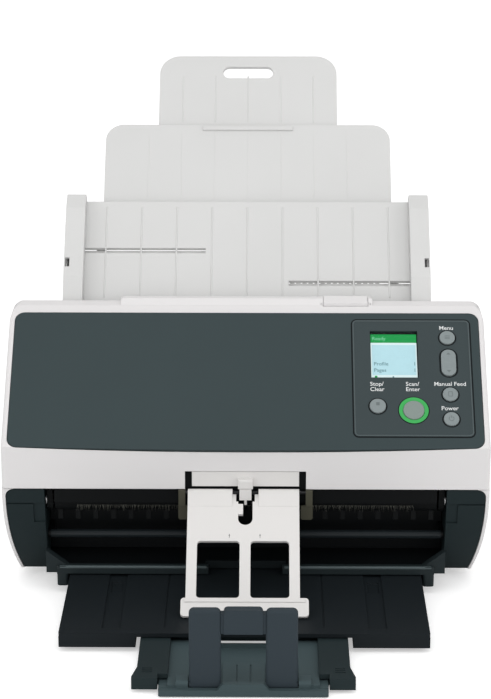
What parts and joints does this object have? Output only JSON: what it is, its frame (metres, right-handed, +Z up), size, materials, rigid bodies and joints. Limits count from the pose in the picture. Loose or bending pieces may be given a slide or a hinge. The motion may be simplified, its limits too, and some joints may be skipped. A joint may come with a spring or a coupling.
{
  "type": "document scanner",
  "caption": "Desktop sheet-fed document scanner with swing-open feeder cover, sprung keys, geared side guides and a pull-out stacker with folding stopper.",
  "frame": {"origin": "middle of the whole object's box, at the table top", "axes": "+X to the right as the user faces the controls, +Y to the back, +Z up"},
  "size_m": [0.3, 0.3848, 0.2923],
  "materials": {
    "white_plastic": "fine satin",
    "chute_plastic": "fine satin",
    "panel_plastic": "satin",
    "control_plastic": "satin",
    "button_plastic": "satin",
    "scan_plastic": "satin",
    "ring_plastic": "clear green",
    "display_body": "pale",
    "display_glass": "clear",
    "frame_plastic": "fine grain",
    "guide_plastic": "fine grain",
    "tray_plastic": "fine grain",
    "wing_plastic": "fine grain",
    "carriage_plastic": "fine grain",
    "stopper_plastic": "fine grain",
    "khaki_plastic": "satin",
    "sensor_plastic": "matt",
    "scan_glass": "clear",
    "rubber_black": "matt",
    "roller_plastic": "satin",
    "steel": "brushed",
    "board": "solder mask"
  },
  "bodies": {
    "base": {"base_pan": "guide_plastic", "exit_frame": "frame_plastic", "side_frame_left": "frame_plastic", "side_frame_right": "frame_plastic", "side_shell_left": "white_plastic", "side_shell_right": "white_plastic", "rear_cover": "white_plastic", "base_sheet_guide": "guide_plastic", "base_scan_glass": "scan_glass", "base_image_sensor": "sensor_plastic", "circuit_board": "board", "dc_inlet": "sensor_plastic", "usb_port": "steel", "drive_motor": "steel", "drive_belt": "rubber_black", "rubber_feet": "rubber_black", "hinge_pins": "steel", "chute_plate": "chute_plastic"},
    "cover": {"cover_shell": "white_plastic", "front_panel": "panel_plastic", "control_plate": "control_plastic", "lcd_module": "display_body", "lcd_glass": "display_glass", "switch_board": "board", "scan_ring": "ring_plastic", "latch_tab": "white_plastic", "guide_brackets": "khaki_plastic", "cover_sheet_guide": "guide_plastic", "cover_scan_glass": "scan_glass", "cover_image_sensor": "sensor_plastic"},
    "guide": {"guide_rod": "steel", "stacker_guide": "white_plastic"},
    "lever": {"cover_lever": "white_plastic"},
    "menu_key": {"menu_button": "button_plastic"},
    "manual_feed_key": {"manual_feed_button": "button_plastic"},
    "power_key": {"power_button": "button_plastic"},
    "stop_key": {"stop_button": "button_plastic"},
    "scan_key": {"scan_button": "scan_plastic"},
    "rocker_key": {"rocker_button": "button_plastic"},
    "left_guide": {"side_guide_left": "chute_plastic"},
    "right_guide": {"side_guide_right": "chute_plastic"},
    "pinion": {"guide_pinion": "chute_plastic"},
    "chute_stage_1": {"chute_extension_1": "chute_plastic"},
    "chute_stage_2": {"chute_extension_2": "chute_plastic"},
    "tray": {"tray": "tray_plastic"},
    "extension": {"tray_extension": "wing_plastic"},
    "carriage": {"stopper_carriage": "carriage_plastic"},
    "stopper": {"stopper": "stopper_plastic"},
    "pick_roller": {"pick_shaft": "steel", "pick_tyres": "rubber_black"},
    "feed_roller": {"feed_shaft": "steel", "feed_tyres": "rubber_black"},
    "exit_roller": {"exit_shaft": "steel", "exit_tyres": "rubber_black"},
    "motor_wheel": {"motor_pulley": "roller_plastic"},
    "brake": {"brake_roller": "roller_plastic"},
    "feed_idler": {"feed_idlers": "roller_plastic"},
    "exit_idler": {"exit_idlers": "roller_plastic"}
  },
  "joints": [
    {"name": "cover_open", "type": "hinge", "parent": "base", "child": "cover", "pos_m": [0, -0.03137, 0.056], "axis": [1, 0, 0], "range_deg": [0, 55]},
    {"name": "guide_follow", "type": "hinge", "parent": "cover", "child": "guide", "pos_m": [0, -0.04517, 0.0658], "axis": [1, 0, 0], "range_deg": [-71.5, 0]},
    {"name": "cover_lever", "type": "hinge", "parent": "cover", "child": "lever", "pos_m": [0.063, 0.03623, 0.162], "axis": [1, 0, 0], "range_deg": [0, 12], "stiffness_Nm_per_rad": 0.05},
    {"name": "menu_press", "type": "slide", "parent": "cover", "child": "menu_key", "axis": [0, 0.6534, -0.757], "range_m": [0, 0.0008], "stiffness_N_per_m": 800},
    {"name": "manual_feed_press", "type": "slide", "parent": "cover", "child": "manual_feed_key", "axis": [0, 0.6534, -0.757], "range_m": [0, 0.0008], "stiffness_N_per_m": 800},
    {"name": "power_press", "type": "slide", "parent": "cover", "child": "power_key", "axis": [0, 0.6534, -0.757], "range_m": [0, 0.0008], "stiffness_N_per_m": 800},
    {"name": "stop_press", "type": "slide", "parent": "cover", "child": "stop_key", "axis": [0, 0.6534, -0.757], "range_m": [0, 0.0008], "stiffness_N_per_m": 800},
    {"name": "scan_press", "type": "slide", "parent": "cover", "child": "scan_key", "axis": [0, 0.6534, -0.757], "range_m": [0, 0.0008], "stiffness_N_per_m": 800},
    {"name": "rocker_tip", "type": "hinge", "parent": "cover", "child": "rocker_key", "pos_m": [0.1264, 0.00315, 0.13161], "axis": [1, 0, 0], "range_deg": [-4, 4], "stiffness_Nm_per_rad": 0.06},
    {"name": "side_guide_left", "type": "slide", "parent": "base", "child": "left_guide", "axis": [1, 0, 0], "range_m": [-0.0025, 0.078]},
    {"name": "side_guide_right", "type": "slide", "parent": "base", "child": "right_guide", "axis": [1, 0, 0], "range_m": [-0.078, 0.0025]},
    {"name": "pinion_turn", "type": "hinge", "parent": "base", "child": "pinion", "pos_m": [0, 0.07404, 0.17386], "axis": [0, -0.7314, 0.682], "continuous": true},
    {"name": "chute_stage_1", "type": "slide", "parent": "base", "child": "chute_stage_1", "axis": [0, -0.682, -0.7314], "range_m": [0, 0.05]},
    {"name": "chute_stage_2", "type": "slide", "parent": "chute_stage_1", "child": "chute_stage_2", "axis": [0, -0.682, -0.7314], "range_m": [0, 0.052]},
    {"name": "tray_slide", "type": "slide", "parent": "base", "child": "tray", "axis": [0, 1, 0], "range_m": [0, 0.064]},
    {"name": "extension_slide", "type": "slide", "parent": "tray", "child": "extension", "axis": [0, 1, 0], "range_m": [0, 0.048]},
    {"name": "carriage_slide", "type": "slide", "parent": "extension", "child": "carriage", "axis": [0, 1, 0], "range_m": [-0.014, 0.006]},
    {"name": "stopper_fold", "type": "hinge", "parent": "carriage", "child": "stopper", "pos_m": [0, -0.18537, 0.0056], "axis": [-1, 0, 0], "range_deg": [0, 90]},
    {"name": "feed_turn", "type": "hinge", "parent": "base", "child": "feed_roller", "pos_m": [0, 0.01524, 0.107], "axis": [1, 0, 0], "continuous": true},
    {"name": "pick_turn", "type": "hinge", "parent": "base", "child": "pick_roller", "pos_m": [0, 0.03716, 0.12758], "axis": [1, 0, 0], "continuous": true},
    {"name": "exit_turn", "type": "hinge", "parent": "base", "child": "exit_roller", "pos_m": [0, -0.02095, 0.06965], "axis": [1, 0, 0], "continuous": true},
    {"name": "motor_turn", "type": "hinge", "parent": "base", "child": "motor_wheel", "pos_m": [0, 0.03863, 0.058], "axis": [1, 0, 0], "continuous": true},
    {"name": "feed_idler_turn", "type": "hinge", "parent": "cover", "child": "feed_idler", "pos_m": [0, 0.00624, 0.11539], "axis": [1, 0, 0], "continuous": true},
    {"name": "exit_idler_turn", "type": "hinge", "parent": "cover", "child": "exit_idler", "pos_m": [0, -0.02885, 0.07702], "axis": [1, 0, 0], "continuous": true},
    {"name": "brake_turn", "type": "hinge", "parent": "cover", "child": "brake", "pos_m": [0, 0.02561, 0.13835], "axis": [1, 0, 0], "continuous": true}
  ],
  "couplings": [
    {"joint": "guide_follow", "follows": "cover_open", "ratio": -1.3},
    {"joint": "side_guide_right", "follows": "side_guide_left", "ratio": -1},
    {"joint": "pinion_turn", "follows": "side_guide_left", "rad_per_m": -114.29},
    {"joint": "pick_turn", "follows": "feed_turn", "ratio": 0.77778},
    {"joint": "exit_turn", "follows": "feed_turn", "ratio": 1.1667},
    {"joint": "motor_turn", "follows": "feed_turn", "ratio": 1.3333},
    {"joint": "feed_idler_turn", "follows": "feed_turn", "ratio": -1.4},
    {"joint": "exit_idler_turn", "follows": "feed_turn", "ratio": -1.5556}
  ]
}
